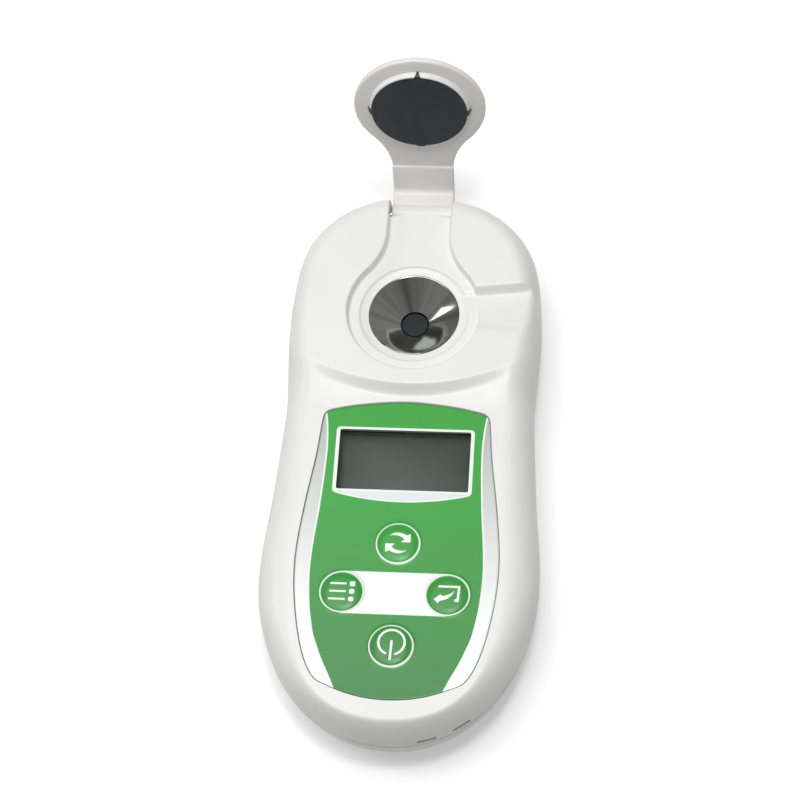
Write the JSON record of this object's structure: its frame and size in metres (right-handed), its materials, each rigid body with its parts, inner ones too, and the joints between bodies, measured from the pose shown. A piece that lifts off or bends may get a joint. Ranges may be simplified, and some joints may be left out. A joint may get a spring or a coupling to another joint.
{
  "type": "digital refractometer",
  "caption": "Hand-held digital refractometer: pear-shaped white case, flip cover on an end hinge, steel sample well with prism, small display and round keys under a green overlay.",
  "frame": {"origin": "on the flat back face, on the centre line, 62.4 mm from the chin end, beside the battery door", "axes": "+Z out of the display side, +Y towards the flip cover's hinge, +X to the right when the display is read"},
  "size_m": [0.0582, 0.1372, 0.0566],
  "materials": {
    "white_abs": "fine satin white moulding",
    "cover_white": "satin off-white moulding",
    "overlay_green": "printed film, satin",
    "key_green": "printed film, satin",
    "black_plastic": "matt black",
    "grey_plastic": "matt grey",
    "black_rubber": "matt",
    "pad_rubber": "smooth blue-black",
    "polished_steel": "mirror polished stainless steel",
    "zinc_steel": "plated",
    "clear_window": "clear hard-coated window",
    "prism_glass": "polished optical glass",
    "lcd_glass": "grey-green liquid-crystal cell",
    "pcb_green": "solder mask",
    "ceramic_tan": "sintered body",
    "ribbon_white": "satin film",
    "led_amber": "clear amber epoxy",
    "battery_label": "plain printed sleeve"
  },
  "bodies": {
    "body": {"front_housing": "white_abs", "rear_housing": "white_abs", "housing_seal": "black_rubber", "keypad_overlay": "overlay_green", "display_window": "clear_window", "display_glass": "lcd_glass", "display_reflector": "zinc_steel", "display_holder": "grey_plastic", "lower_contact_strip": "black_rubber", "upper_contact_strip": "black_rubber", "main_board": "pcb_green", "controller_chip": "black_plastic", "clock_crystal": "zinc_steel", "storage_capacitor": "ceramic_tan", "sample_well": "polished_steel", "well_seal": "black_rubber", "prism": "prism_glass", "optics_block": "black_plastic", "left_optics_screw": "zinc_steel", "right_optics_screw": "zinc_steel", "light_led": "led_amber", "collimating_lens": "prism_glass", "led_board": "pcb_green", "image_sensor": "black_plastic", "sensor_board": "pcb_green", "temperature_probe": "zinc_steel", "ribbon_cable": "ribbon_white", "left_battery": "battery_label", "right_battery": "battery_label", "left_battery_spring": "zinc_steel", "right_battery_spring": "zinc_steel", "left_battery_terminal": "zinc_steel", "right_battery_terminal": "zinc_steel", "battery_bridge": "zinc_steel", "hinge_pin": "zinc_steel", "housing_screw_1": "zinc_steel", "board_screw_1": "zinc_steel", "housing_screw_2": "zinc_steel", "board_screw_2": "zinc_steel", "housing_screw_3": "zinc_steel", "board_screw_3": "zinc_steel", "housing_screw_4": "zinc_steel", "board_screw_4": "zinc_steel", "refresh_switch": "grey_plastic", "menu_switch": "grey_plastic", "enter_switch": "grey_plastic", "power_switch": "grey_plastic"},
    "cover": {"flip_cover": "cover_white", "cover_pad": "pad_rubber"},
    "door": {"battery_door": "white_abs"},
    "refresh_button": {"refresh_key": "key_green", "refresh_plunger": "black_plastic"},
    "menu_button": {"menu_key": "key_green", "menu_plunger": "black_plastic"},
    "enter_button": {"enter_key": "key_green", "enter_plunger": "black_plastic"},
    "power_button": {"power_key": "key_green", "power_plunger": "black_plastic"}
  },
  "joints": [
    {"name": "cover_hinge", "type": "hinge", "parent": "body", "child": "cover", "pos_m": [0, 0.06, 0.0166], "axis": [1, 0, 0], "range_deg": [0, 99.85]},
    {"name": "refresh_press", "type": "slide", "parent": "body", "child": "refresh_button", "axis": [0, 0, -1], "range_m": [0, 0.0005], "stiffness_N_per_m": 800},
    {"name": "menu_press", "type": "slide", "parent": "body", "child": "menu_button", "axis": [0, 0, -1], "range_m": [0, 0.0005], "stiffness_N_per_m": 800},
    {"name": "enter_press", "type": "slide", "parent": "body", "child": "enter_button", "axis": [0, 0, -1], "range_m": [0, 0.0005], "stiffness_N_per_m": 800},
    {"name": "power_press", "type": "slide", "parent": "body", "child": "power_button", "axis": [0, 0, -1], "range_m": [0, 0.0005], "stiffness_N_per_m": 800},
    {"name": "battery_door_hinge", "type": "hinge", "parent": "body", "child": "door", "pos_m": [0, -0.05005, 0.0001], "axis": [-1, 0, 0], "range_deg": [0, 50]}
  ]
}
